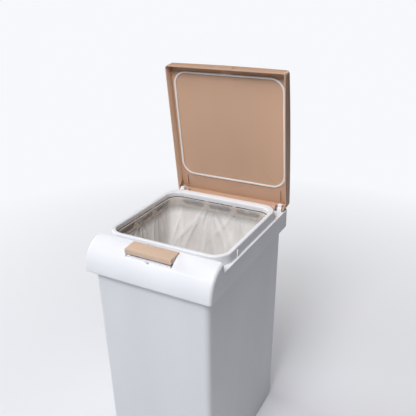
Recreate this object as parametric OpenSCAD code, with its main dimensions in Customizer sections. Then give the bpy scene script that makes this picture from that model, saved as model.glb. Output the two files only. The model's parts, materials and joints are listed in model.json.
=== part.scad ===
// Push-button waste bin with a sprung, gasketed lid and a bag ring, lid standing open.
// Origin at the middle of the base on the floor, front towards -Y, +Z up, millimetres.

/* [Tub] */
// Width of the tub at its base
tub_base_w = 261; // [240:1:262]
// Depth of the tub at its base
tub_base_d = 365; // [340:1:366]
// Width of the tub at its top edge
tub_top_w = 274.5; // [268:0.5:276]
// Depth of the tub at its top edge
tub_top_d = 379; // [370:1:379]
// Height of the floor inside the tub
tub_floor_z = 8; // [6:0.5:9]
// Radius of the tub's upright corners
tub_r = 13; // [10:1:18]
// Wall thickness of the tub
tub_wall = 2.4; // [2:0.1:3]

/* [Top frame] */
// Width of the frame and of the lid
frame_w = 300; // [298:1:304]
// Furthest reach of the frame to the front
frame_front = 204; // [203:1:206]
// Furthest reach of the frame to the rear
frame_rear = 200; // [199:1:203]
// Height of the frame's lower edge
skirt_z = 519; // [510:1:522]
// Height of the ledge that the lid skirt closes over
ledge_z = 563; // [563:0.5:563.5]
// Height of the rim round the mouth
rim_z = 585; // [584.5:0.5:585]
// Skin thickness of the frame
frame_wall = 2.6; // [2.2:0.1:2.8]
// Radius of the frame's rear upright corners
frame_r = 14; // [10:1:16]

/* [Mouth] */
// Half width of the mouth
mouth_x = 134.5; // [133:0.5:135]
// Front edge of the mouth, measured forwards from the middle
mouth_front = 128; // [127:0.5:128.5]
// Rear edge of the mouth, measured backwards from the middle
mouth_rear = 129; // [128:0.5:129.5]
// Corner radius of the mouth
mouth_r = 30; // [26:1:32]

/* [Nose] */
// Radius of the rounded front
nose_r = 62; // [61:0.5:63]
// Rounding of the nose's two ends
nose_end_r = 7; // [5:0.5:9]
// Rear face of the nose, measured forwards from the middle
nose_back = 150; // [149.8:0.1:150.2]

/* [Button] */
// Width of the push button
button_w = 109; // [100:1:112]
// Front face of the button, measured forwards from the middle
button_front = 187; // [186:0.5:187.5]
// Rear face of the button, measured forwards from the middle
button_back = 153.5; // [153.4:0.1:154.5]
// Travel of the button and of the latch slide
button_travel = 4; // [3:0.5:4]

/* [Lid] */
// Angle at which the lid stands open
open_angle = 82.8; // [0:0.1:82.8]
// Height of the lid's lower edge when it is shut
lid_edge_z = 566.5; // [566.5:0.1:567]
// Height of the lid's crown when it is shut
lid_crown_z = 602; // [602:0.5:604]
// Radius of the lid's domed outer face
lid_dome_r = 2400; // [2300:50:3000]
// Skin thickness of the lid
lid_wall = 2.5; // [2:0.1:2.8]
// Corner radius of the lid
lid_r = 7; // [5:0.5:9]

/* [Hidden] */
$fn = 64;

white = "white";
beige = "#cdb093";
steel = "silver";

// Tub
tub_h = 546;
tub_flange = 7.6;
tub_flange_t = 3;
foot_h = 4;
foot_w = 14;
foot_inset = 3.5;
foot_pad_r = 25;

// Frame
frame_edge_r = 1.5;
cavity_front = 173;
seat_front = 157;
seat_t = 2.4;
clip_ys = [-90, 90];
clip_w = 24;
clip_t = 2.8;

// Rim: outer faces of the wall round the mouth
rim_x = 144;
rim_front = 137.5;
rim_rear = 149;
rim_r = 38;
rim_round = 3;
rim_wall = 2.4;
lip_z = 573;
side_rib_y = [-79.5, -76.5];
side_rib_reach = 2;
side_rib_top = 579;

// Bag ring inside the mouth
ring_gap = 0.6;
ring_wall = 2.2;
ring_top = 571.5;
ring_bottom = 549;
slot_w = 60;
slot_h = 14;
slot_pitch = 75;
slot_mid_z = 562.5;
tab_r = 8;
bracket_w = 9;
bracket_xs = [-37.5, 37.5];
bracket_t = 2;
bracket_reach = 4;
bracket_top_z = 579;

// Liner
liner_wall = 0.6;
liner_gap = 1.2;
liner_bottom = 8.5;
liner_taper = 11;

// Lid
lid_front = 148.8;
lid_rear = 182;
hinge_y = 181;
hinge_z = 566;
pin_r = 2;
pin_head_r = 3.6;
pin_head_t = 2;
panel_z = 587.6;
panel_t = 2;
panel_gap = 0.2;
panel_r = 20;
gasket_w = 5;
gasket_h = 2.4;
gasket_x = 139.5;
gasket_front = 130;
gasket_rear = 136;
gasket_r = 32;
catch_w = 44;
catch_t = 2.2;
catch_z0 = 570;
catch_z1 = 586;
catch_slot_z = [573, 578];
rib_x = 129;
rib_t = 2;
rib_y = [142, 170];
rib_h = 6;

// Hinge stations along X, measured outwards from the middle
ear_outer = [142.4, 146.9];
ear_inner = [118, 124.5];
post_x = [131, 141];
ear_r = 6.5;
gusset_z = 578;
post_r = 8;
post_top_z = 577.5;
post_neck_y = [175.5, 185.5];
notch_x = [124.9, 142];
notch_top_z = 579.5;
pocket_x = [114.8, 147.5];
pocket_y = [171, 191];
pocket_z = 558;
pocket_wall = 2.4;
stop_rib_x = [86, 90];
stop_rib_y = [183.5, 196];
stop_rib_z = 564.6;
pin_fit = 0.05;

// Button and latch
recess_gap = 0.7;
recess_floor_z = 567.5;
recess_floor_t = 2.5;
recess_wall = 2;
recess_lip = 6;
button_top_back = 588;
button_top_front = 585.5;
button_bottom = 575;
button_wall = 2;
button_roof = 3;
stem_x = 42;
stem_y = -172;
stem_r = 3;
stem_bottom = 556;
guide_r = 6;
guide_bottom = 558;
sill_x = 51.5;
sill_y = [-184.6, -182.8];
sill_top = 574;
finger_slot_x = 5;
finger_slot_depth = 2.5;
finger_lip_r = 4.6;
finger_lip_t = 1.6;
boss_r = 3.4;
slide_w = 20;
slide_z = [557, 563];
arm_t = 2.4;
slide_y = [-172.5, -155.5];
beak_z = [569.5, 573.5];
beak_y = -151.7;
wedge_w = 8;
wedge_y = -166.5;
wedge_t = 4;
wedge_z = 566;
wedge_gap = 0.4;
wedge_top = 584;
ramp_top = wedge_z + wedge_t + wedge_y - slide_y[0] - 3.5;
cover_z = [552.5, 556.5];
cover_x = 27;
cover_y = [-183, -157.5];
screw_x = 21;
screw_ys = [-178.5, -161.5];
screw_r = 1.5;
screw_head_r = 2.8;
screw_head_t = 1.8;
screw_l = 11;

// Rounded rectangle from x = -x1 to x1 and y = -yf to yr.
module round_rect(x1, yf, yr, r) {
    for (x = [-x1 + r, x1 - r], y = [-yf + r, yr - r]) translate([x, y]) circle(r);
    translate([-x1 + r, -yf]) square([2 * (x1 - r), yf + yr]);
    translate([-x1, -yf + r]) square([2 * x1, yf + yr - 2 * r]);
}

module round_box(x1, yf, yr, r, z0, z1) {
    translate([0, 0, z0]) linear_extrude(z1 - z0) round_rect(x1, yf, yr, r);
}

// Sweeps a profile round the outline of a rounded rectangle. The profile's x is the distance
// inwards from the outline's corner centres, plus the corner radius; its y is height.
module sweep_rect(x1, yf, yr, r) {
    for (sx = [-1, 1], sy = [-1, 1]) {
        turn = sx > 0 ? (sy > 0 ? 0 : 270) : (sy > 0 ? 90 : 180);
        translate([sx * (x1 - r), sy > 0 ? yr - r : -yf + r]) rotate(turn)
            rotate_extrude(angle = 90) children();
    }
    for (sy = [-1, 1]) translate([sy * (x1 - r), sy > 0 ? yr - r : -yf + r, 0])
        rotate([90, 0, sy > 0 ? 0 : 180]) linear_extrude(yf + yr - 2 * r) children();
    for (sx = [-1, 1]) translate([sx > 0 ? -x1 + r : x1 - r, sx > 0 ? yr - r : -yf + r, 0])
        rotate([90, 0, sx > 0 ? 90 : 270]) linear_extrude(2 * (x1 - r)) children();
}

// Profile that rounds an outer (inner = false) or inner top edge when it is cut away.
module edge_cutter(r, rad, z, inner = false) {
    side = inner ? -1 : 1;
    difference() {
        translate([inner ? r - 1 : r - rad, z - rad]) square([rad + 1, rad + 1]);
        translate([r - side * rad, z - rad]) circle(rad);
    }
}

function helix_point(i, steps, turns, r, h) =
    [r * cos(360 * turns * i / steps), r * sin(360 * turns * i / steps), h * i / steps];

// Wire of radius w wound along +Z, as one closed polyhedron.
module coil(r, h, turns, w, per_turn = 14, sides = 8) {
    steps = round(turns * per_turn);
    rings = [for (i = [0:steps]) let (p = helix_point(i, steps, turns, r, h), a = 360 * turns * i / steps)
        [for (k = [0:sides - 1]) let (b = 360 * k / sides)
            p + w * [cos(b) * cos(a), cos(b) * sin(a), sin(b)]]];
    points = [for (ring = rings) each ring];
    last = steps * sides;
    walls = [for (i = [0:steps - 1], k = [0:sides - 1]) let (a = i * sides + k,
        b = i * sides + (k + 1) % sides) each [[a, a + sides, b], [b, a + sides, b + sides]]];
    start = [[for (k = [0:sides - 1]) k]];
    end = [[for (k = [sides - 1:-1:0]) last + k]];
    polyhedron(points, concat(walls, start, end), convexity = 10);
}

// Turns a piece of the shut lid about the hinge axis to where it stands open.
module opened() {
    translate([0, hinge_y, hinge_z]) rotate([-open_angle, 0, 0])
        translate([0, -hinge_y, -hinge_z]) children();
}

module x_rod(x0, x1, y, z, r) {
    translate([x0, y, z]) rotate([0, 90, 0]) cylinder(h = x1 - x0, r = r);
}

// Extrudes an outline drawn in Y and Z from x0 to x1.
module x_slab(x0, x1) {
    translate([x0, 0, 0]) rotate([90, 0, 90]) linear_extrude(x1 - x0) children();
}

module box(x, y, z) {
    translate([x[0], y[0], z[0]]) cube([x[1] - x[0], y[1] - y[0], z[1] - z[0]]);
}

// Both sides of the object: runs its children once as they are and once mirrored.
module both_sides() {
    children();
    mirror([1, 0, 0]) children();
}

// Tapered block between a small outline low down and a large one high up.
module tub_block(inset, z0, z1) {
    function half_w(z) = (tub_base_w + (tub_top_w - tub_base_w) * z / tub_h) / 2 - inset;
    function half_d(z) = (tub_base_d + (tub_top_d - tub_base_d) * z / tub_h) / 2 - inset;
    r = tub_r - inset;
    hull() for (z = [z0, z1 - 1], x = [-1, 1], y = [-1, 1])
        translate([x * (half_w(z) - r), y * (half_d(z) - r), z]) cylinder(h = 1, r = r, $fn = 32);
}

module bin_body() {
    flange_x = tub_top_w / 2 + tub_flange;
    flange_y = tub_top_d / 2 + tub_flange;
    color(white) {
        difference() {
            tub_block(0, foot_h, tub_h);
            tub_block(tub_wall, tub_floor_z, tub_h + 20);
        }
        difference() {
            round_box(flange_x, flange_y, flange_y, tub_r + tub_flange - 2,
                tub_h - tub_flange_t, tub_h);
            half_wall = tub_wall / 2;
            round_box(tub_top_w / 2 - half_wall, tub_top_d / 2 - half_wall,
                tub_top_d / 2 - half_wall, tub_r - half_wall, tub_h - 10, tub_h + 1);
        }
        // foot rim round the base, and a pad in its middle
        difference() {
            foot_x = tub_base_w / 2 - foot_inset;
            foot_y = tub_base_d / 2 - foot_inset;
            round_box(foot_x, foot_y, foot_y, tub_r, 0, foot_h + 1);
            round_box(foot_x - foot_w, foot_y - foot_w, foot_y - foot_w, tub_r, -1, foot_h);
        }
        cylinder(h = foot_h + 1, r = foot_pad_r);
    }
}

// Solid of the nose, shrunk by inset all round; its rear face is at y = -back.
module nose_solid(inset, back, z0) {
    r = nose_r - inset;
    e = nose_end_r - min(inset, nose_end_r - 2);
    x1 = frame_w / 2 - inset;
    y1 = -frame_front + nose_r;
    arc_z = skirt_z + 6;
    intersection() {
        union() {
            difference() {
                translate([0, y1, arc_z]) rotate([0, 90, 0]) rotate_extrude($fn = 180)
                    nose_profile(x1, r, e);
                box([-frame_w, frame_w], [-frame_front - 1, 0], [0, arc_z]);
            }
            translate([0, 0, z0]) linear_extrude(arc_z - z0) intersection() {
                round_rect(x1, frame_front - inset, 0, e);
                translate([-x1, -frame_front]) square([2 * x1, frame_front - back]);
            }
        }
        box([-frame_w, frame_w], [-frame_front - 1, -back], [z0, rim_z + 20]);
    }
}

// Half section of a bar along the nose, with both ends rounded.
module nose_profile(x1, r, e) {
    translate([0, -x1 + e]) square([r, 2 * (x1 - e)]);
    translate([0, -x1]) square([r - e, 2 * x1]);
    for (s = [-1, 1]) translate([r - e, s * (x1 - e)]) circle(e);
}

// Skirt, ledge and rim as one solid block, before it is hollowed.
module frame_outside() {
    x1 = frame_w / 2;
    nose_solid(0, nose_back, skirt_z);
    difference() {
        round_box(x1, frame_front, frame_rear, frame_r, skirt_z, ledge_z);
        box([-x1 - 1, x1 + 1], [-frame_front - 1, -nose_back], [skirt_z - 1, ledge_z + 1]);
        sweep_rect(x1, frame_front, frame_rear, frame_r) edge_cutter(frame_r, frame_edge_r, ledge_z);
    }
    difference() {
        round_box(rim_x, rim_front, rim_rear, rim_r, ledge_z - 2, rim_z);
        sweep_rect(rim_x, rim_front, rim_rear, rim_r) edge_cutter(rim_r, rim_round, rim_z);
    }
}

module frame_cavity() {
    x1 = frame_w / 2 - frame_wall;
    nose_solid(frame_wall, nose_back + frame_wall, skirt_z - 1);
    difference() {
        round_box(x1, cavity_front, frame_rear - frame_wall, frame_r - frame_wall,
            skirt_z - 1, ledge_z - frame_wall);
        both_sides() box(pocket_x + [-pocket_wall, 9], pocket_y + [-pocket_wall, 10],
            [pocket_z - pocket_wall, ledge_z]);
    }
    // hollow under the rim, between its inner and outer walls
    difference() {
        round_box(rim_x - rim_wall, rim_front - rim_wall, rim_rear - rim_wall,
            rim_r - rim_wall, skirt_z, rim_z - frame_wall);
        round_box(mouth_x + rim_wall, mouth_front + rim_wall, mouth_rear + rim_wall,
            mouth_r + rim_wall, lip_z, rim_z);
    }
}

// Inward ring that the frame stands on, on top of the tub's flange, and four snap clips below it.
module frame_seat() {
    x1 = frame_w / 2 - frame_wall + 0.5;
    inner_x = tub_top_w / 2 - tub_wall;
    inner_y = tub_top_d / 2 - tub_wall;
    difference() {
        union() {
            round_box(x1, seat_front, frame_rear - frame_wall + 0.5, frame_r - frame_wall,
                tub_h, tub_h + seat_t);
            intersection() {
                nose_solid(frame_wall - 0.5, nose_back, skirt_z);
                box([-x1, x1], [-frame_front, -nose_back], [tub_h, tub_h + seat_t]);
            }
        }
        round_box(inner_x, inner_y, inner_y, tub_r, tub_h - 1, tub_h + 4);
    }
    clip_z = tub_h - tub_flange_t;
    both_sides() for (y = clip_ys)
        box([tub_top_w / 2 + tub_flange - 2, x1], [y - clip_w / 2, y + clip_w / 2],
            [clip_z - clip_t - 0.2, clip_z - 0.2]);
}

// Hinge posts, with their bores on the hinge axis, and the low ribs that stop the open lid.
module hinge_posts() {
    both_sides() {
        box(pocket_x - [2, 0], pocket_y + [-2, 2], [pocket_z - pocket_wall, pocket_z]);
        difference() {
            union() {
                x_rod(post_x[0], post_x[1], hinge_y, hinge_z, post_r);
                box(post_x, [hinge_y - post_r, hinge_y + post_r], [pocket_z - 1, hinge_z]);
                box(post_x, post_neck_y, [hinge_z, post_top_z]);
            }
            x_rod(post_x[0] - 1, post_x[1] + 1, hinge_y, hinge_z, pin_r + pin_fit);
        }
        box(stop_rib_x, stop_rib_y, [ledge_z - 1, stop_rib_z]);
    }
}

// Brackets that carry the bag ring under the rim.
module ring_brackets() {
    for (x = bracket_xs, back = [0, 1]) rotate(180 * back) translate([x, 0, 0])
        ring_bracket(back == 1 ? mouth_front : mouth_rear);
    for (y = bracket_xs, side = [90, 270]) rotate(side) translate([y, 0, 0]) ring_bracket(mouth_x);
}

// One bracket at distance y: a strap up the outer side of the mouth's wall, and a shelf.
module ring_bracket(y) {
    half_w = bracket_w / 2;
    box([-half_w, half_w], [y, y + rim_wall], [ring_bottom - bracket_t, bracket_top_z]);
    box([-half_w, half_w], [y - bracket_reach, y + 1], [ring_bottom - bracket_t, ring_bottom]);
}

// Tray in the nose that the button sinks into, with its stem guides and screw bosses.
module button_recess_walls() {
    x1 = button_w / 2 + recess_gap;
    y0 = -button_front - recess_gap;
    y1 = -button_back + recess_gap;
    intersection() {
        nose_solid(0.5, nose_back + 0.3, skirt_z);
        union() {
            difference() {
                box([-x1 - recess_wall, x1 + recess_wall], [y0 - recess_lip, y1 + recess_wall],
                    [recess_floor_z - recess_floor_t, rim_z + 5]);
                box([-x1, x1], [y0, y1], [recess_floor_z, rim_z + 9]);
            }
            box([-sill_x, sill_x], sill_y, [recess_floor_z - 1, sill_top]);
            both_sides() translate([stem_x, stem_y, guide_bottom])
                cylinder(h = recess_floor_z - guide_bottom, r = guide_r);
            both_sides() for (y = screw_ys) translate([screw_x, y, cover_z[1]])
                cylinder(h = recess_floor_z - 1 - cover_z[1], r = boss_r);
        }
    }
}

module button_recess_cuts() {
    x1 = button_w / 2 + recess_gap;
    box([-x1, x1], [-button_front - recess_gap, -button_back + recess_gap],
        [sill_top, rim_z + 20]);
    difference() {
        box([-x1, x1], [-button_front - recess_gap, -button_back + recess_gap],
            [recess_floor_z, rim_z + 20]);
        box([-sill_x, sill_x], sill_y, [recess_floor_z - 1, sill_top]);
    }
    both_sides() translate([stem_x, stem_y, guide_bottom - 1])
        cylinder(h = 20, r = stem_r + pin_fit);
    both_sides() for (y = screw_ys) translate([screw_x, y, cover_z[1] - 1])
        cylinder(h = 9, r = screw_r);
    // way down for the wedge and up for the latch arm
    box([-slide_w / 2 - 0.5, slide_w / 2 + 0.5], [slide_y[0] - button_travel, -button_back + recess_gap],
        [recess_floor_z - 4, recess_floor_z + 1]);
    // window for the beak, and the pocket that takes the lid's catch
    box([-slide_w / 2 - 0.5, slide_w / 2 + 0.5], [-button_back - 1, -nose_back + 1],
        [beak_z[0] - 0.5, beak_z[1] + 0.5]);
    box([-catch_w / 2 - 1, catch_w / 2 + 1], [-lid_front - catch_t - 0.5, -nose_back + 1],
        [ledge_z, rim_z + 20]);
    // finger slot in the sill
    box([-finger_slot_x, finger_slot_x], sill_y + [-1, 1],
        [sill_top - finger_slot_depth, sill_top + 1]);
}

module top_frame() {
    color(white) {
        difference() {
            union() {
                difference() {
                    frame_outside();
                    frame_cavity();
                }
                button_recess_walls();
            }
            button_recess_cuts();
            round_box(mouth_x, mouth_front, mouth_rear, mouth_r, skirt_z - 1, rim_z + 1);
            sweep_rect(mouth_x, mouth_front, mouth_rear, mouth_r)
                edge_cutter(mouth_r, rim_round, rim_z, inner = true);
            both_sides() box(pocket_x, pocket_y, [pocket_z, ledge_z + 1]);
        }
        frame_seat();
        hinge_posts();
        // upright rib on each side of the rim, which centres the closing lid
        both_sides() box([rim_x - 1, rim_x + side_rib_reach], side_rib_y, [ledge_z - 1, side_rib_top]);
        ring_brackets();
        // half-round lip under the finger slot
        translate([0, -button_front - 0.9, sill_top - 3.5]) rotate([90, 0, 0])
            intersection() {
                cylinder(h = finger_lip_t, r = finger_lip_r);
                box([-1, 1] * finger_lip_r, [-finger_lip_r, 0], [0, finger_lip_t]);
            }
    }
}

// Straight row of slots through one wall of the bag ring, centred on x = 0.
module ring_slots(n) {
    for (i = [0:n - 1]) translate([(i - (n - 1) / 2) * slot_pitch, 0, slot_mid_z]) {
        for (s = [-1, 1]) translate([s * (slot_w - slot_h) / 2, 0, 0])
            rotate([90, 0, 0]) cylinder(h = 12, r = slot_h / 2, center = true);
        cube([slot_w - slot_h, 12, slot_h], center = true);
    }
}

// Half-round tongue that hangs into a slot or over a bridge and holds the bag's edge.
module ring_tab() {
    translate([0, 0, slot_mid_z + slot_h / 2 + 1]) rotate([90, 0, 0]) intersection() {
        cylinder(h = ring_wall, r = tab_r, center = true);
        translate([-tab_r, -tab_r - 1, -5]) cube([2 * tab_r, tab_r + 2, 10]);
    }
}

module bag_ring() {
    x1 = mouth_x - ring_gap;
    yf = mouth_front - ring_gap;
    yr = mouth_rear - ring_gap;
    r = mouth_r - ring_gap;
    color(beige) {
        difference() {
            round_box(x1, yf, yr, r, ring_bottom, ring_top);
            round_box(x1 - ring_wall, yf - ring_wall, yr - ring_wall, r - ring_wall,
                ring_bottom - 1, ring_top + 1);
            for (y = [-yf, yr]) translate([0, y, 0]) ring_slots(3);
            for (s = [-1, 1]) translate([s * x1, 0, 0]) rotate(90) ring_slots(3);
        }
        for (x = [-36, 72]) translate([x, yr - ring_wall / 2, 0]) ring_tab();
        for (x = [-72, 36]) translate([x, -yf + ring_wall / 2, 0]) ring_tab();
        for (s = [-1, 1]) translate([s * (x1 - ring_wall / 2), 0, 0]) rotate(90) ring_tab();
    }
}

module liner_block(inset, z0, z1) {
    r = mouth_r - ring_gap - ring_wall - liner_gap - inset;
    hull() for (end = [[z0, liner_taper + inset], [z1 - 1, inset]], s = [-1, 1]) {
        x = mouth_x - ring_gap - ring_wall - liner_gap - end[1] - r;
        yf = mouth_front - ring_gap - ring_wall - liner_gap - end[1] - r;
        yr = mouth_rear - ring_gap - ring_wall - liner_gap - end[1] - r;
        for (y = [-yf, yr]) translate([s * x, y, end[0]]) cylinder(h = 1, r = r, $fn = 32);
    }
}

module bin_liner() {
    color([0.9, 0.92, 0.95, 0.5]) difference() {
        liner_block(0, liner_bottom, ring_top);
        liner_block(liner_wall, liner_bottom + liner_wall, ring_top + 20);
    }
}

module dome(r) {
    translate([0, (lid_rear - lid_front) / 2, lid_crown_z - lid_dome_r])
        sphere(r = r, $fn = 360);
}

// Barrel on the hinge axis, with a gusset that runs up the lid's rear wall.
module lid_ear(x) {
    x_rod(x[0], x[1], hinge_y, hinge_z, ear_r);
    x_slab(x[0], x[1]) polygon([[hinge_y - ear_r, hinge_z], [lid_rear - 1, hinge_z],
        [lid_rear - 1, gusset_z], [lid_rear - lid_wall - 0.5, gusset_z]]);
}

// Two ears a side. The outer one runs into the lid's side wall, above the frame's pocket.
module lid_ears() {
    both_sides() {
        for (x = [ear_outer, ear_inner]) lid_ear(x);
        joined_x = [ear_outer[0], frame_w / 2 - lid_wall + 0.1];
        intersection() {
            lid_ear(joined_x);
            box(joined_x, [hinge_y - ear_r, lid_rear], [lid_edge_z, gusset_z]);
        }
    }
}

module lid_cover() {
    x1 = frame_w / 2;
    color(beige) opened() difference() {
        union() {
            difference() {
                intersection() {
                    round_box(x1, lid_front, lid_rear, lid_r, lid_edge_z, lid_crown_z + 5);
                    dome(lid_dome_r);
                }
                intersection() {
                    round_box(x1 - lid_wall, lid_front - lid_wall, lid_rear - lid_wall,
                        lid_r - lid_wall, lid_edge_z - 1, lid_crown_z + 5);
                    dome(lid_dome_r - lid_wall);
                }
                both_sides() box(notch_x, [lid_rear - 6, lid_rear + 1],
                    [lid_edge_z - 1, notch_top_z]);
                both_sides() x_rod(ear_inner[0] - pin_head_t - 1.2, ear_inner[0], hinge_y, hinge_z,
                    pin_head_r + 0.6);
            }
            lid_ears();
            box([-catch_w / 2, catch_w / 2], [-lid_front - catch_t, -lid_front + 0.5],
                [catch_z0, catch_z1]);
        }
        both_sides() x_rod(ear_inner[0] - 1, ear_outer[1] + 0.2, hinge_y, hinge_z, pin_r + pin_fit);
        box([-catch_w / 4, catch_w / 4], [-lid_front - catch_t - 1, -lid_front + lid_wall + 1],
            catch_slot_z);
    }
}

module lid_inner_panel() {
    x1 = frame_w / 2 - lid_wall - panel_gap;
    yf = lid_front - lid_wall - panel_gap;
    yr = lid_rear - lid_wall - panel_gap;
    color(beige) opened() {
        round_box(x1, yf, yr, panel_r, panel_z, panel_z + panel_t);
        both_sides() box([rib_x - rib_t / 2, rib_x + rib_t / 2], rib_y,
            [panel_z - rib_h, panel_z + 1]);
    }
}

module lid_gasket() {
    color(white) opened() difference() {
        round_box(gasket_x + gasket_w / 2, gasket_front + gasket_w / 2, gasket_rear + gasket_w / 2,
            gasket_r + gasket_w / 2, panel_z - gasket_h, panel_z);
        round_box(gasket_x - gasket_w / 2, gasket_front - gasket_w / 2, gasket_rear - gasket_w / 2,
            gasket_r - gasket_w / 2, panel_z - gasket_h - 1, panel_z + 1);
    }
}

// Steel pin with a flat head on its inner end.
module hinge_pin() {
    color(steel) {
        x_rod(ear_inner[0] - 0.2, ear_outer[1], hinge_y, hinge_z, pin_r);
        x_rod(ear_inner[0] - pin_head_t - 0.2, ear_inner[0] - 0.2, hinge_y, hinge_z, pin_head_r);
    }
}

module hinge_pin_left() { mirror([1, 0, 0]) hinge_pin(); }
module hinge_pin_right() { hinge_pin(); }

// Torsion spring in the gap between the inner ear and the post.
module lid_spring() {
    color(steel) translate([ear_inner[1] + 1, hinge_y, hinge_z]) rotate([0, 90, 0])
        coil(r = 3.6, h = 4.4, turns = 3.5, w = 0.6);
}

module lid_spring_left() { mirror([1, 0, 0]) lid_spring(); }
module lid_spring_right() { lid_spring(); }

module push_button() {
    color(beige) {
        difference() {
            button_block(0, button_bottom);
            difference() {
                translate([0, 0, -button_roof]) button_block(button_wall, button_bottom - 10);
                both_sides() translate([stem_x, stem_y, button_bottom])
                    cylinder(h = 20, r = stem_r + 1.5);
            }
            box([-slide_w / 2 - 1, slide_w / 2 + 1], [-button_back - button_wall - 1, -button_back + 1],
                [button_bottom - 1, beak_z[1] + button_travel + 3]);
        }
        both_sides() translate([stem_x, stem_y, stem_bottom])
            cylinder(h = button_top_front - 1 - stem_bottom, r = stem_r);
        wedge();
    }
}

// Block of the button's outline with its sloping top.
module button_block(inset, z0) {
    x1 = button_w / 2 - inset;
    rotate([90, 0, 90]) translate([0, 0, -x1]) linear_extrude(2 * x1) polygon([
        [-button_front + inset, z0], [-button_back - inset, z0],
        [-button_back - inset, button_top_back], [-button_front + inset, button_top_front]]);
}

// Wedge under the button: its slanted foot pushes the latch slide forwards.
module wedge() {
    rotate([90, 0, 90]) translate([0, 0, -wedge_w / 2]) linear_extrude(wedge_w) polygon([
        [wedge_y, wedge_top], [wedge_y, wedge_z + wedge_t], [wedge_y + wedge_t, wedge_z],
        [wedge_y + wedge_t, wedge_top]]);
}

module button_spring() {
    color(steel) translate([stem_x, stem_y, recess_floor_z + 0.7])
        coil(r = 3.9, h = button_bottom - recess_floor_z - 1.3, turns = 3, w = 0.5);
}

module button_spring_left() { mirror([1, 0, 0]) button_spring(); }
module button_spring_right() { button_spring(); }

// Slide under the recess floor: slanted ramp for the wedge, and an arm up to the beak.
module latch_slide() {
    x1 = slide_w / 2;
    color("lightgray") {
        difference() {
            box([-x1, x1], slide_y, slide_z);
            box([-wedge_w / 2 - 0.5, wedge_w / 2 + 0.5], [wedge_y - wedge_gap, slide_y[1] - arm_t],
                [slide_z[0] - 1, slide_z[1] + 1]);
        }
        rotate([90, 0, 90]) translate([0, 0, -wedge_w / 2]) linear_extrude(wedge_w) polygon([
            [slide_y[0], slide_z[1] - 2], [wedge_y - wedge_gap, slide_z[1] - 2],
            [wedge_y - wedge_gap, wedge_z + wedge_t - 1], [slide_y[0] + 2, ramp_top],
            [slide_y[0], ramp_top]]);
        box([-x1, x1], [slide_y[1] - arm_t, slide_y[1]], [slide_z[0], beak_z[1]]);
        box([-x1, x1], [slide_y[1] - 1, beak_y], beak_z);
    }
}

module latch_spring() {
    color(steel) translate([0, slide_y[0] - 0.5, (slide_z[0] + slide_z[1]) / 2])
        rotate([90, 0, 0]) coil(r = 2.2, h = 7.7, turns = 4, w = 0.4);
}

// Plate under the latch slide, with an end wall for its spring.
module latch_cover() {
    color(white) difference() {
        union() {
            box([-cover_x, cover_x], cover_y, cover_z);
            box([-6, 6], [cover_y[0], cover_y[0] + 1.6], [cover_z[0], slide_z[1]]);
        }
        both_sides() for (y = screw_ys) translate([screw_x, y, cover_z[0] - 1])
            cylinder(h = 10, r = screw_r + 0.2);
    }
}

// Four cross-head screws that hold the plate to the bosses under the recess floor.
module latch_screws() {
    color(steel) both_sides() for (y = screw_ys) translate([screw_x, y, cover_z[0] - screw_head_t]) {
        difference() {
            cylinder(h = screw_head_t, r = screw_head_r);
            for (a = [0, 90]) rotate(a) translate([-2, -0.4, -1]) cube([4, 0.8, 2]);
        }
        cylinder(h = screw_l, r = screw_r);
    }
}

bin_body();
top_frame();
bag_ring();
bin_liner();
lid_cover();
lid_inner_panel();
lid_gasket();
hinge_pin_left();
hinge_pin_right();
lid_spring_left();
lid_spring_right();
push_button();
button_spring_left();
button_spring_right();
latch_slide();
latch_spring();
latch_cover();
latch_screws();
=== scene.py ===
"""The looks of a push-button waste bin with a sprung, gasketed lid: rounded mouldings, a film
liner, procedural plastics, rubber and steel, soft studio light and the camera."""

import json
import math

import bmesh
import bpy
from mathutils import Matrix, Vector, noise
from mathutils.bvhtree import BVHTree
from mathutils.kdtree import KDTree


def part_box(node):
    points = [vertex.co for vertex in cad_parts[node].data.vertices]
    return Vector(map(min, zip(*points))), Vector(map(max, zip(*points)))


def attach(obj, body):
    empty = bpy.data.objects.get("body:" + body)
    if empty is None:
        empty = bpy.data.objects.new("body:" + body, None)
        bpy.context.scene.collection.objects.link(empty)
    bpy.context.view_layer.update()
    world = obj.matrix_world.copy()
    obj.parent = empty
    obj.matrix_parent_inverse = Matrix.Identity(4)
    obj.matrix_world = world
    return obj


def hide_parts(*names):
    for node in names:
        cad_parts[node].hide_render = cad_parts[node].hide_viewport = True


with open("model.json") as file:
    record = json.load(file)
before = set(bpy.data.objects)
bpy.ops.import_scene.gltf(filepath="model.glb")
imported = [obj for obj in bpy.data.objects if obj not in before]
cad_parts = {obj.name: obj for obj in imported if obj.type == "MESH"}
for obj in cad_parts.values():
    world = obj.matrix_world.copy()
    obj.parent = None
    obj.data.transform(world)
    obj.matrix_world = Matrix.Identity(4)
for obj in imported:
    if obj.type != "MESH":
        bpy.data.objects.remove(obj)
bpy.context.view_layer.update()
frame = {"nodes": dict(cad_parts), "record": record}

MM = 0.001
WHITE = (0.83, 0.845, 0.87)
BEIGE = (0.55, 0.355, 0.243)
KEY_BEIGE = (0.66, 0.49, 0.37)
RING_BEIGE = (0.52, 0.42, 0.34)
ACETAL = (0.72, 0.71, 0.68)
# Painted shade: the dark colour painted on the white frame's walls in the hollow under the rim.
HOLLOW_PAINTED_SHADE = (0.05, 0.055, 0.08)
STUDIO_WHITE = (0.93, 0.94, 0.97, 1)


def add_object(name, data):
    made = bpy.data.objects.new(name, data)
    bpy.context.scene.collection.objects.link(made)
    return made


def as_mesh(name, shape):
    mesh = bpy.data.meshes.new(name)
    shape.to_mesh(mesh)
    shape.free()
    return mesh


# ---------------------------------------------------------------- materials

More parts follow.
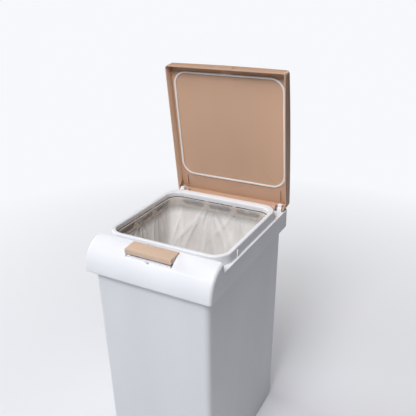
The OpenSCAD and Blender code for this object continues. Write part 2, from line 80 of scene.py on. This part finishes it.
class Shader:
    """Builds one material's node tree around its Principled shader."""

    # The places of the mix node's colour sockets, which share their names with its number sockets.
    COLOUR_A, COLOUR_B, COLOUR_RESULT = 6, 7, 2

    def __init__(self, name):
        self.material = bpy.data.materials.new(name)
        self.material.use_nodes = True
        self.tree = self.material.node_tree
        self.surface = self.tree.nodes["Principled BSDF"]
        self.coordinates = self.tree.nodes.new("ShaderNodeTexCoord").outputs["Object"]

    def node(self, kind, **inputs):
        made = self.tree.nodes.new(kind)
        for key, value in inputs.items():
            socket = made.inputs[key.replace("_", " ")]
            if isinstance(value, bpy.types.NodeSocket):
                self.tree.links.new(value, socket)
            else:
                socket.default_value = value
        return made

    def noise(self, scale, detail=3.0, roughness=0.5, stretch=(1, 1, 1)):
        mapping = self.node("ShaderNodeMapping", Vector=self.coordinates, Scale=stretch)
        return self.node("ShaderNodeTexNoise", Vector=mapping.outputs["Vector"], Scale=scale,
                         Detail=detail, Roughness=roughness).outputs["Fac"]

    def spread(self, value, low, high, from_low=0.3, from_high=0.7):
        """A value of about 0.3 to 0.7, as noise gives, spread from low to high."""
        made = self.node("ShaderNodeMapRange", Value=value)
        for key, number in (("From Min", from_low), ("From Max", from_high),
                            ("To Min", low), ("To Max", high)):
            made.inputs[key].default_value = number
        return made.outputs["Result"]

    def product(self, first, second):
        made = self.tree.nodes.new("ShaderNodeMath")
        made.operation = "MULTIPLY"
        self.tree.links.new(first, made.inputs[0])
        self.tree.links.new(second, made.inputs[1])
        return made.outputs[0]

    def vector_math(self, operation, first, second=None):
        made = self.node("ShaderNodeVectorMath", Vector=first)
        made.operation = operation
        if second is not None:
            made.inputs[1].default_value = second
        return made.outputs["Value" if operation == "LENGTH" else "Vector"]

    def height(self):
        return self.node("ShaderNodeSeparateXYZ", Vector=self.coordinates).outputs["Z"]

    def blend_numbers(self, factor, first, second):
        made = self.tree.nodes.new("ShaderNodeMix")
        for key, value in (("Factor", factor), ("A", first), ("B", second)):
            self.tree.links.new(value, made.inputs[key])
        return made.outputs["Result"]

    def blend_colours(self, factor, first, second):
        made = self.tree.nodes.new("ShaderNodeMix")
        made.data_type = "RGBA"
        self.tree.links.new(factor, made.inputs["Factor"])
        for place, value in ((self.COLOUR_A, first), (self.COLOUR_B, second)):
            if isinstance(value, bpy.types.NodeSocket):
                self.tree.links.new(value, made.inputs[place])
            else:
                made.inputs[place].default_value = (*value, 1)
        return made.outputs[self.COLOUR_RESULT]

    def link(self, value, key):
        self.tree.links.new(value, self.surface.inputs[key])

    def bump(self, height, distance, strength=1.0, below=None):
        made = self.node("ShaderNodeBump", Height=height, Distance=distance, Strength=strength)
        if below is not None:
            self.tree.links.new(below, made.inputs["Normal"])
        return made.outputs["Normal"]


def shade(colour, factor):
    return tuple(min(1.0, c * factor) for c in colour)


def painted_shade_inside_rim(s):
    """1 on the walls of the hollow under the rim, which only shows through the ring's slots: where
    shade is painted dark on the white frame.
    """
    half_x, half_y, middle_y = 144 * MM, 143.25 * MM, 5.75 * MM
    corner = 38 * MM
    roof_low, roof_high = 571.5 * MM, 573 * MM
    wall_inner, wall_outer = 1.6 * MM, 1.2 * MM
    placed = s.vector_math("SUBTRACT", s.coordinates, (0, middle_y, 0))
    beyond = s.vector_math("SUBTRACT", s.vector_math("ABSOLUTE", placed),
                           (half_x - corner, half_y - corner, 1))
    reach = s.vector_math("LENGTH", s.vector_math("MAXIMUM", beyond, (0, 0, 0)))
    within = s.spread(reach, 1, 0, corner - wall_inner, corner - wall_outer)
    return s.product(within, s.spread(s.height(), 1, 0, roof_low, roof_high))


def moulded_plastic(name, colour, roughness, grain_size, grain_depth, wear=0.06, hollow=None):
    """Injection-moulded plastic: a spark-eroded grain, faint flow marks, and edges rubbed lighter.
    hollow is the colour of the shade painted inside the rim."""
    s = Shader(name)
    flow = s.noise(7, detail=2, stretch=(1, 1, 0.35))
    body = s.blend_colours(s.spread(flow, 0, 1), shade(colour, 0.97), shade(colour, 1.03))
    # Painted shade: the walls of the hollow under the rim are coloured dark.
    if hollow:
        body = s.blend_colours(painted_shade_inside_rim(s), body, hollow)
    edge = s.node("ShaderNodeNewGeometry").outputs["Pointiness"]
    rubbed = s.spread(edge, 0, 1, 0.53, 0.62)
    scuffs = s.spread(s.noise(60, detail=6), 0, 1, 0.45, 0.65)
    s.link(s.blend_colours(s.product(rubbed, scuffs), body, shade(colour, 1 + wear)), "Base Color")
    s.link(s.spread(s.noise(28, detail=4), roughness - 0.04, roughness + 0.05), "Roughness")
    grain = s.noise(1 / grain_size, detail=2, roughness=0.6)
    sink = s.bump(s.noise(5, detail=1), 0.6 * MM, 0.35)
    s.link(s.bump(grain, grain_depth, 0.6, below=sink), "Normal")
    s.surface.inputs["IOR"].default_value = 1.49
    s.surface.inputs["Specular IOR Level"].default_value = 0.45
    return s.material


def soft_rubber():
    s = Shader("gasket_rubber")
    tone = s.spread(s.noise(18, detail=5), 0, 1)
    s.link(s.blend_colours(tone, (0.78, 0.76, 0.735), (0.86, 0.845, 0.825)), "Base Color")
    s.link(s.spread(s.noise(45), 0.48, 0.62), "Roughness")
    s.link(s.bump(s.noise(900, detail=2), 0.06 * MM, 0.5), "Normal")
    s.surface.inputs["Sheen Weight"].default_value = 0.12
    return s.material


def film():
    """Polyethylene film: clear where it is pulled tight over the ring, and hazy where it hangs
    slack and its folds lie over each other."""
    slack_below, tight_above = 534 * MM, 552 * MM
    s = Shader("liner_film")
    haze = s.noise(16, detail=4, stretch=(1, 1, 0.5))
    # The base colour varies with a random haze tone and is tinted warm: a painted reflection of the
    # beige lid.
    s.link(s.blend_colours(s.spread(haze, 0, 1), (0.93, 0.895, 0.85), (0.985, 0.965, 0.935)),
           "Base Color")
    s.link(s.spread(s.noise(30, detail=3), 0.1, 0.24), "Roughness")
    tight = s.spread(s.height(), 0, 1, slack_below, tight_above)
    s.link(s.blend_numbers(tight, s.spread(haze, 0.7, 0.93), s.spread(haze, 0.18, 0.4)), "Alpha")
    wrinkle = s.noise(55, detail=5, roughness=0.62, stretch=(1, 1, 0.4))
    s.link(s.bump(wrinkle, 2 * MM, 0.7), "Normal")
    s.surface.inputs["IOR"].default_value = 1.51
    return s.material


def drawn_steel():
    """Bright steel, streaked along x as drawing leaves it."""
    s = Shader("drawn_steel")
    tone = s.spread(s.noise(120, detail=3, stretch=(0.2, 1, 1)), 0, 1)
    s.link(s.blend_colours(tone, (0.60, 0.60, 0.62), (0.74, 0.74, 0.76)), "Base Color")
    s.link(s.spread(s.noise(220, stretch=(0.15, 1, 1)), 0.22, 0.38), "Roughness")
    s.surface.inputs["Metallic"].default_value = 1.0
    s.link(s.bump(s.noise(600, stretch=(0.1, 1, 1)), 0.02 * MM, 0.5), "Normal")
    return s.material


# ---------------------------------------------------------------- mouldings

WELD_DISTANCE = 0.01 * MM
FLAT_ANGLE = math.radians(0.6)
MOST_CORNERS = 12
LEAST_FILLED = 0.7
BEVEL_TRIALS = 12
MOST_STRAY = 0.5


def needs_splitting(face):
    """Whether a flat face runs round an opening, as a wall's edge does, or has a long outline."""
    span = [max(v.co[k] for v in face.verts) - min(v.co[k] for v in face.verts) for k in range(3)]
    longest, second = sorted(span)[:0:-1]
    corners = len(face.verts)
    part_filled = face.calc_area() < LEAST_FILLED * longest * second
    return corners > MOST_CORNERS or (corners > 4 and part_filled)


def own_copy(node):
    """A copy of a CAD node's mesh, welded and with its flat faces whole, to work on freely."""
    mesh = frame["nodes"][node].data.copy()
    mesh.name = node + "_moulding"
    piece = add_object(node + "_moulding", mesh)
    shape = bmesh.new()
    shape.from_mesh(mesh)
    bmesh.ops.remove_doubles(shape, verts=shape.verts, dist=WELD_DISTANCE)
    bmesh.ops.dissolve_limit(shape, angle_limit=FLAT_ANGLE, verts=shape.verts, edges=shape.edges)
    bmesh.ops.triangulate(shape, faces=[f for f in shape.faces if needs_splitting(f)])
    shape.to_mesh(mesh)
    shape.free()
    return piece


def roundable_edges(shape, width, segments, angle):
    """The sharp edges that a bevel can round cleanly: where one sticks out, its edges are left."""
    surface = BVHTree.FromBMesh(shape)
    corners = KDTree(len(shape.verts))
    for vertex in shape.verts:
        corners.insert(vertex.co, vertex.index)
    corners.balance()
    edges = {e.index: {v.index for v in e.verts} for e in shape.edges
             if e.is_manifold and e.calc_face_angle() > math.radians(angle)}
    for _ in range(BEVEL_TRIALS):
        trial = shape.copy()
        trial.edges.ensure_lookup_table()
        bmesh.ops.bevel(trial, geom=[trial.edges[i] for i in edges], offset=width,
                        segments=segments, profile=0.5, affect="EDGES", clamp_overlap=False,
                        miter_outer="ARC")
        stray = {v for v in trial.verts if surface.find_nearest(v.co)[3] > MOST_STRAY * width}
        roots = {corners.find(v.co)[1] for v in stray}
        roots |= {corners.find(e.other_vert(v).co)[1] for v in stray for e in v.link_edges}
        trial.free()
        if not stray:
            break
        edges = {i: ends for i, ends in edges.items() if not ends & roots}
    return edges


def weigh_edges(mesh, width, segments, angle):
    """Marks the edges of a mesh that its bevel rounds."""
    shape = bmesh.new()
    shape.from_mesh(mesh)
    weight = shape.edges.layers.float.new("bevel_weight_edge")
    chosen = roundable_edges(shape, width, segments, angle)
    for edge in shape.edges:
        edge[weight] = 1.0 if edge.index in chosen else 0.0
    shape.to_mesh(mesh)
    shape.free()


def bake_within(piece, low, high):
    """Fixes a piece's bevel as its mesh, with nothing outside the box of the sharp-edged piece."""
    graph = bpy.context.evaluated_depsgraph_get()
    mesh = bpy.data.meshes.new_from_object(piece.evaluated_get(graph))
    for vertex in mesh.vertices:
        vertex.co = [min(max(c, a), b) for c, a, b in zip(vertex.co, low, high)]
    piece.modifiers.clear()
    piece.data = mesh


def rounded(node, body, width, material, segments=3, angle=28):
    """Stands for a CAD node, with its sharp edges rounded over as a moulding's edges are."""
    piece = own_copy(node)
    mesh = piece.data
    mesh.materials.clear()
    mesh.materials.append(material)
    mesh.polygons.foreach_set("use_smooth", [True] * len(mesh.polygons))
    low, high = ([end(v.co[k] for v in mesh.vertices) for k in range(3)] for end in (min, max))
    weigh_edges(mesh, width, segments, angle)
    bevel = piece.modifiers.new("edges", "BEVEL")
    bevel.width = width
    bevel.segments = segments
    bevel.limit_method = "WEIGHT"
    bevel.use_clamp_overlap = False
    bevel.harden_normals = True
    bevel.miter_outer = "MITER_ARC"
    bake_within(piece, low, high)
    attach(piece, body)
    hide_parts(node)


slot_of = {s["node"]: s["material_slot"] for s in frame["record"]["subparts"]}

body_plastic = moulded_plastic("body_plastic", WHITE, 0.42, 1.1 * MM, 0.05 * MM)
frame_plastic = moulded_plastic("frame_plastic", shade(WHITE, 1.02), 0.34, 1.3 * MM, 0.03 * MM,
                                hollow=HOLLOW_PAINTED_SHADE)
lid_plastic = moulded_plastic("lid_plastic", BEIGE, 0.40, 1.2 * MM, 0.04 * MM, wear=0.12)
key_plastic = moulded_plastic("key_plastic", KEY_BEIGE, 0.40, 1.2 * MM, 0.04 * MM, wear=0.08)
ring_plastic = moulded_plastic("ring_plastic", RING_BEIGE, 0.45, 1.2 * MM, 0.04 * MM, wear=0.1)
latch_plastic = moulded_plastic("latch_plastic", ACETAL, 0.36, 0.9 * MM, 0.03 * MM)
rubber = soft_rubber()
liner_film = film()
steel = drawn_steel()

rounded("bin_body", "bin", 0.8 * MM, body_plastic)
rounded("top_frame", "bin", 0.5 * MM, frame_plastic)
rounded("bag_ring", "bin", 0.4 * MM, ring_plastic)
rounded("lid_cover", "lid", 0.7 * MM, lid_plastic)
rounded("lid_inner_panel", "lid", 0.4 * MM, lid_plastic)
rounded("lid_gasket", "lid", 1.1 * MM, rubber, segments=4)
rounded("push_button", "button", 0.7 * MM, key_plastic)
rounded("latch_slide", "latch", 0.3 * MM, latch_plastic)
rounded("latch_cover", "bin", 0.3 * MM, frame_plastic)

for name, node in frame["nodes"].items():
    if slot_of[name] == "steel":
        node.data.materials.clear()
        node.data.materials.append(steel)


# ---------------------------------------------------------------- the bag

RING_LOW, RING_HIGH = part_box("bag_ring")
RING_WALL = 2.2 * MM
RING_CORNER = 29.4 * MM
RING_LENGTH = (2 * (RING_HIGH.x - RING_LOW.x + RING_HIGH.y - RING_LOW.y)
               - (8 - 2 * math.pi) * RING_CORNER)
FLOOR_Z = 8 * MM
BAG_TOP = RING_HIGH.z + 0.6 * MM
BAG_DEPTH = BAG_TOP - FLOOR_Z
BAG_INSET = RING_WALL + 0.8 * MM
BAG_HEM = 7 * MM
BAG_STEPS_ROUND = 540
BAG_STEPS_DOWN = 130


def outline(inset, corner, share):
    """The point and the outward direction at a share of the way round the ring's outline, when
    the outline is moved inwards by inset and has its corners rounded to corner."""
    x = RING_HIGH.x - inset
    y0, y1 = RING_LOW.y + inset, RING_HIGH.y - inset
    middle = Vector((0, (y0 + y1) / 2))
    half = Vector((x - corner, (y1 - y0) / 2 - corner))
    lengths = [2 * half.y, corner * math.pi / 2, 2 * half.x, corner * math.pi / 2] * 2
    along = share % 1 * sum(lengths)
    for side, length in enumerate(lengths):
        if along <= length:
            break
        along -= length
    quarter, on_corner = divmod(side, 2)
    turn = quarter * math.pi / 2
    forward = Vector((math.cos(turn), math.sin(turn)))
    left = Vector((-forward.y, forward.x))
    out_half, run_half = (half.x, half.y) if quarter % 2 == 0 else (half.y, half.x)
    if not on_corner:
        return middle + forward * (out_half + corner) + left * (along - run_half), forward
    bend = along / corner
    out = forward * math.cos(bend) + left * math.sin(bend)
    return middle + forward * out_half + left * run_half + out * corner, out


def crease_fans():
    """Where creases start on the ring, as lengths round it, the slopes at which each fans out, and
    how high they stand."""
    corner_fan, corner_height = (-34, -22, -9, 6, 19, 31, 44), 5.5 * MM
    side_fans, side_height = 12, 2.6 * MM
    fans = []
    for number in range(4):
        slopes = [math.radians(a) * (-1) ** number for a in corner_fan]
        fans.append(((number + 0.5) / 4 * RING_LENGTH, slopes, corner_height))
    for number in range(side_fans):
        start = (number + 0.5) / side_fans * RING_LENGTH + 9 * MM * math.sin(number * 2.3)
        slopes = [math.radians(12 * math.sin(number * 1.7 + k) + 19 * (k - 1)) for k in range(3)]
        fans.append((start, slopes, side_height))
    return fans


def crease_depth(fans, along, drop):
    """How far the creases push the film inwards, at a length round the ring and a drop below it."""
    nearest, farthest = 2 * MM, 420 * MM
    grown_at, fades_over, wave = 45 * MM, 150 * MM, 26 * MM
    depth = 0.0
    for start, slopes, height in fans:
        aside = (along - start + RING_LENGTH / 2) % RING_LENGTH - RING_LENGTH / 2
        reach = math.hypot(aside, drop)
        if reach < nearest or reach > farthest:
            continue
        direction = math.atan2(aside, drop)
        grow = min(1.0, reach / grown_at) * math.exp(-reach / fades_over)
        for number, slope in enumerate(slopes):
            bend = slope + 0.05 * math.sin(reach / wave + number * 2.1 + start * 40)
            narrow = 0.075 + 0.02 * math.sin(number * 3.3)
            depth += height * grow * math.exp(-abs((direction - bend) / narrow) ** 1.25)
    return depth


def ring_row(inset, z):
    """A level row of the film where it lies against the ring."""
    corner = max(1 * MM, RING_CORNER - inset)
    return [(*outline(inset, corner, k / BAG_STEPS_ROUND)[0], z) for k in range(BAG_STEPS_ROUND)]


def hanging_row(fans, fall):
    """A level row of the hanging film, a share of the way down: it leaves the wall as it goes
    down, and it has creases and slack folds."""
    drop = BAG_DEPTH * fall ** 0.85 * 0.985
    slack = min(1.0, max(0.0, (drop - 14 * MM) / (60 * MM)))
    pull = 26 * MM * fall ** 1.5 + 10 * MM * min(1, drop / (200 * MM)) * slack
    turning_in = max(0.0, (drop - BAG_DEPTH + 45 * MM) / (45 * MM))
    pull += 30 * MM * turning_in ** 2
    corner = RING_CORNER + 60 * MM * min(1, drop / (260 * MM))
    off_the_ring = 1 - math.exp(-drop / (9 * MM))
    row = []
    for k in range(BAG_STEPS_ROUND):
        share = k / BAG_STEPS_ROUND
        at, out = outline(BAG_INSET + pull, corner, share)
        wide = noise.noise(Vector((at.x * 16, at.y * 16, drop * 2.2)))
        fine = noise.noise(Vector((at.x * 45, at.y * 45, drop * 7)))
        fold = slack * (6.5 * MM * wide + 2.4 * MM * fine)
        creases = crease_depth(fans, share * RING_LENGTH, drop) * off_the_ring
        at = at - out * max(creases + fold, -pull * 0.8)
        row.append((*at, BAG_TOP - drop))
    return row


def floor_row(edge, middle, share):
    """A row of the film that lies on the floor of the tub, a share of the way out to its edge."""
    row = []
    for rim in edge:
        at = middle + (rim - middle) * share
        wrinkle = noise.noise(Vector((at.x * 30, at.y * 30, 4.2))) + 0.6
        at.z = FLOOR_Z + 1.2 * MM + 3.5 * MM * max(0, wrinkle) * math.sin(math.pi * share)
        row.append(at)
    return row


def film_bag():
    """A thin clear bag, folded out over the ring, hanging in creased folds and lying on the tub's
    floor."""
    fans = crease_fans()
    rows = [ring_row(inset, z) for inset, z in (
        (-0.3 * MM, BAG_TOP - BAG_HEM), (-0.3 * MM, BAG_TOP - 0.4 * MM), (0.4 * MM, BAG_TOP),
        (BAG_INSET - 0.4 * MM, BAG_TOP), (BAG_INSET, BAG_TOP - 0.5 * MM))]
    rows += [hanging_row(fans, (step + 1) / BAG_STEPS_DOWN) for step in range(BAG_STEPS_DOWN)]
    edge = [Vector(point) for point in rows[-1]]
    middle = sum(edge, Vector()) / len(edge)
    rows += [floor_row(edge, middle, share)
             for share in (0.93, 0.84, 0.72, 0.58, 0.43, 0.28, 0.15, 0.06)]
    shape = bmesh.new()
    rings = [[shape.verts.new(point) for point in row] for row in rows]
    for upper, lower in zip(rings, rings[1:]):
        for k in range(BAG_STEPS_ROUND):
            n = (k + 1) % BAG_STEPS_ROUND
            shape.faces.new((upper[k], upper[n], lower[n], lower[k]))
    shape.faces.new(rings[-1])
    for face in shape.faces:
        face.smooth = True
    bag = add_object("clear_bag", as_mesh("clear_bag", shape))
    bag.data.materials.append(liner_film)
    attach(bag, "bin")
    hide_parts("bin_liner")


film_bag()


# ---------------------------------------------------------------- stage, light and camera

CAMERA_PLACE = (0.548, -0.939, 1.082)
CAMERA_AZIMUTH, CAMERA_ELEVATION, CAMERA_ROLL = (math.radians(a) for a in (28.6, 23.41, -0.92))
SENSOR_WIDTH = 36
FOCAL_LENGTH = 46.2

FLOOR_RADIUS = 40
GLOW_STARTS, GLOW_FULL = 0.25, 1.9

LIT_FROM_SKY = 0.02
LIGHT_TARGET = (0, 0, 0.5)
LIGHTS = (  # name, place, size, power, colour
    ("high_front", (0.2, -2.2, 2.9), 1.2, 73, (0.95, 0.95, 1.0)),
    ("over_mouth", (0, -0.6, 2.2), 0.8, 10, (1.0, 0.98, 0.96)),
    ("side", (-3, 0, 1.5), 1.6, 45, (0.96, 1.0, 1.0)),
    ("back", (0.5, 2.5, 2.5), 1.6, 23, (1.0, 0.92, 0.97)),
)


def camera():
    made = add_object("camera", bpy.data.cameras.new("camera"))
    turn = (Matrix.Rotation(CAMERA_AZIMUTH, 4, "Z")
            @ Matrix.Rotation(math.pi / 2 - CAMERA_ELEVATION, 4, "X")
            @ Matrix.Rotation(CAMERA_ROLL, 4, "Z"))
    made.matrix_world = Matrix.Translation(CAMERA_PLACE) @ turn
    made.data.sensor_width = SENSOR_WIDTH
    made.data.lens = FOCAL_LENGTH
    bpy.context.scene.camera = made


def soft_light(name, place, size, power, colour):
    data = bpy.data.lights.new(name, "AREA")
    data.shape = "DISK"
    data.size = size
    data.energy = power
    data.color = colour
    made = add_object(name, data)
    made.location = place
    made.rotation_mode = "QUATERNION"
    made.rotation_quaternion = (Vector(LIGHT_TARGET) - Vector(place)).to_track_quat("-Z", "Y")


def camera_share(tree, value):
    """The value for what the camera sees itself, and 0 for all light that the stage gives."""
    made = tree.nodes.new("ShaderNodeMath")
    made.operation = "MULTIPLY"
    tree.links.new(tree.nodes.new("ShaderNodeLightPath").outputs["Is Camera Ray"], made.inputs[0])
    if isinstance(value, bpy.types.NodeSocket):
        tree.links.new(value, made.inputs[1])
    else:
        made.inputs[1].default_value = value
    return made.outputs[0]


def pale_floor():
    """A wide pale floor, lit up far from the object as an evenly lit studio is."""
    shape = bmesh.new()
    bmesh.ops.create_circle(shape, cap_ends=True, segments=96, radius=FLOOR_RADIUS)
    floor = add_object("floor", as_mesh("floor", shape))
    s = Shader("floor_paper")
    s.link(s.blend_colours(s.spread(s.noise(1.2), 0, 1), (0.79, 0.80, 0.82), (0.81, 0.82, 0.84)),
           "Base Color")
    s.surface.inputs["Roughness"].default_value = 0.9
    s.surface.inputs["Specular IOR Level"].default_value = 0.1
    from_middle = s.vector_math("LENGTH", s.coordinates)
    far = s.spread(from_middle, 0.1, 1, GLOW_STARTS, GLOW_FULL)
    glow = s.node("ShaderNodeEmission", Color=STUDIO_WHITE)
    both = s.tree.nodes.new("ShaderNodeMixShader")
    for key, value in enumerate((camera_share(s.tree, far), s.surface.outputs[0], glow.outputs[0])):
        s.tree.links.new(value, both.inputs[key])
    s.tree.links.new(both.outputs[0], s.tree.nodes["Material Output"].inputs["Surface"])
    floor.data.materials.append(s.material)


def studio():
    """An even backdrop that gives the object almost no light, and soft lamps that light it."""
    world = bpy.data.worlds.new("studio")
    world.use_nodes = True
    bpy.context.scene.world = world
    tree = world.node_tree
    background = tree.nodes["Background"]
    background.inputs["Color"].default_value = STUDIO_WHITE
    strength = tree.nodes.new("ShaderNodeMath")
    strength.operation = "ADD"
    strength.inputs[0].default_value = LIT_FROM_SKY
    tree.links.new(camera_share(tree, 1 - LIT_FROM_SKY), strength.inputs[1])
    tree.links.new(strength.outputs[0], background.inputs["Strength"])
    for light in LIGHTS:
        soft_light(*light)
    bpy.context.scene.view_settings.view_transform = "Standard"


pale_floor()
studio()
camera()
